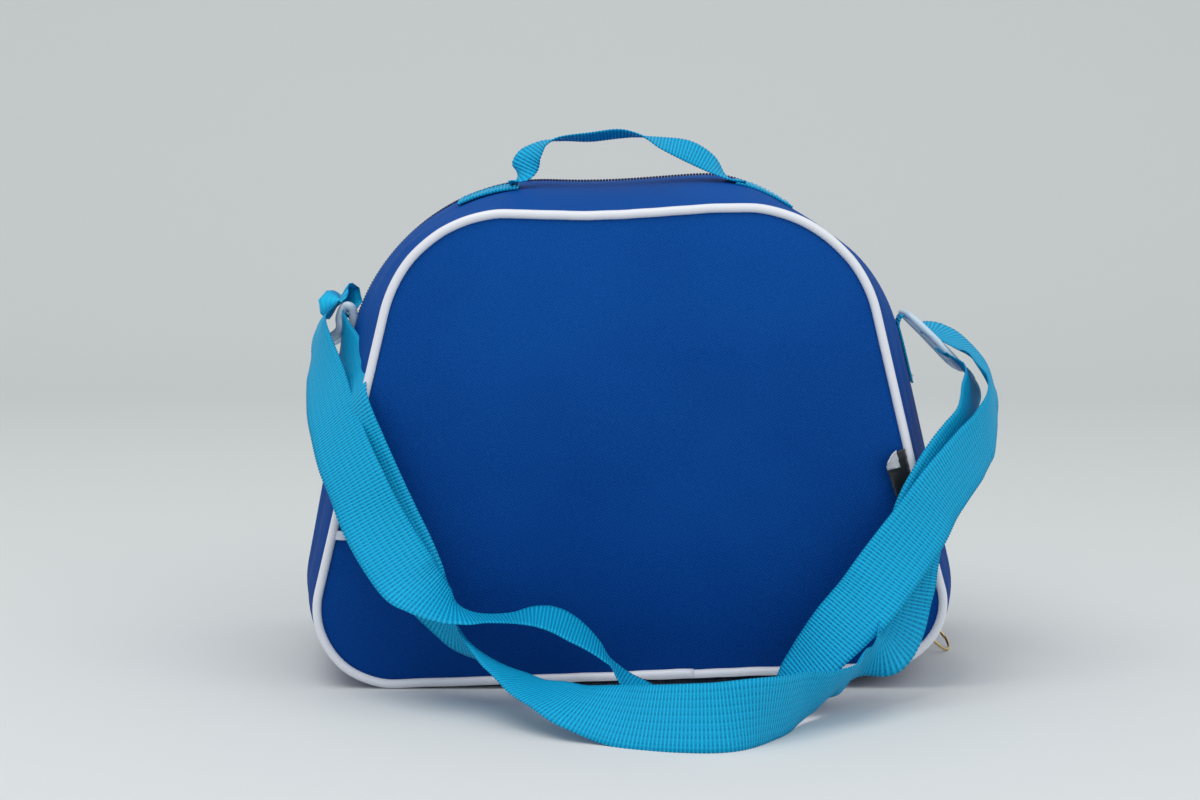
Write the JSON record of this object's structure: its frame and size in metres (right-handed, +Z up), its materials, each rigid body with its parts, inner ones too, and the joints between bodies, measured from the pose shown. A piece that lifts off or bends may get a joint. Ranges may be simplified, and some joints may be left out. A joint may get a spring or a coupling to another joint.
{
  "type": "bowling ball bag",
  "caption": "Soft dome-shaped zipped bag that carries a bowling ball, with a webbing carry handle and a shoulder strap hung from side tabs.",
  "frame": {"origin": "on the floor under the middle of the bag's body", "axes": "+X to the right seen from the plain back panel, +Y from that back panel to the front, +Z up"},
  "size_m": [0.4404, 0.3805, 0.3355],
  "materials": {
    "body_fabric": "woven polyester",
    "piping_cord": "smooth piping",
    "zip_navy": "zip coil and tape",
    "zip_metal": "worn brass",
    "handle_webbing": "ribbed webbing",
    "strap_webbing": "ribbed webbing",
    "fitting_plastic": "milky translucent",
    "label_satin": "satin",
    "tag_fabric": "woven tape",
    "lining_fabric": "plain lining",
    "board": "stiff sheet",
    "foam": "closed cell foam"
  },
  "bodies": {
    "bag": {"back_panel": "body_fabric", "back_piping": "piping_cord", "back_strip": "body_fabric", "base_strip": "body_fabric", "back_zip_tape": "zip_navy", "back_zip_coil": "zip_navy", "zip_end_stops": "zip_navy", "handle_end_left": "handle_webbing", "handle_end_right": "handle_webbing", "side_tab_left": "handle_webbing", "side_tab_right": "handle_webbing", "care_label": "label_satin", "seam_tag": "tag_fabric", "back_lining": "lining_fabric", "base_lining": "lining_fabric", "base_board": "board", "ball_ring": "foam"},
    "front_cover": {"front_panel": "body_fabric", "front_piping": "piping_cord", "front_strip": "body_fabric", "front_zip_tape": "zip_navy", "front_zip_coil": "zip_navy", "front_lining": "lining_fabric"},
    "slider": {"zip_slider": "zip_metal"},
    "pull_ring": {"split_ring": "zip_metal"},
    "handle": {"handle_loop": "handle_webbing"},
    "shoulder_strap": {"strap_front_layer": "strap_webbing", "strap_rear_layer": "strap_webbing", "strap_fitting_left": "fitting_plastic", "strap_fitting_right": "fitting_plastic", "tab_loop_left": "handle_webbing", "tab_loop_right": "handle_webbing"}
  },
  "joints": [
    {"name": "cover_open", "type": "hinge", "parent": "bag", "child": "front_cover", "pos_m": [0, 0.112, 0.003], "axis": [-1, 0, 0], "range_deg": [0, 75]},
    {"name": "slider_run", "type": "hinge", "parent": "bag", "child": "slider", "pos_m": [0.14744, 0, 0.0579], "axis": [0, -1, 0], "range_deg": [0, 44]},
    {"name": "ring_swing", "type": "hinge", "parent": "slider", "child": "pull_ring", "pos_m": [0.1937, 0, 0.01853], "axis": [0, -1, 0], "range_deg": [0, 96]},
    {"name": "handle_tip", "type": "hinge", "parent": "bag", "child": "handle", "pos_m": [0, -0.05, 0.31391], "axis": [1, 0, 0], "range_deg": [-70, 70], "stiffness_Nm_per_rad": 0.02},
    {"name": "strap_swing", "type": "hinge", "parent": "bag", "child": "shoulder_strap", "pos_m": [0, -0.02, 0.221], "axis": [1, 0, 0], "range_deg": [-180, 0]}
  ]
}
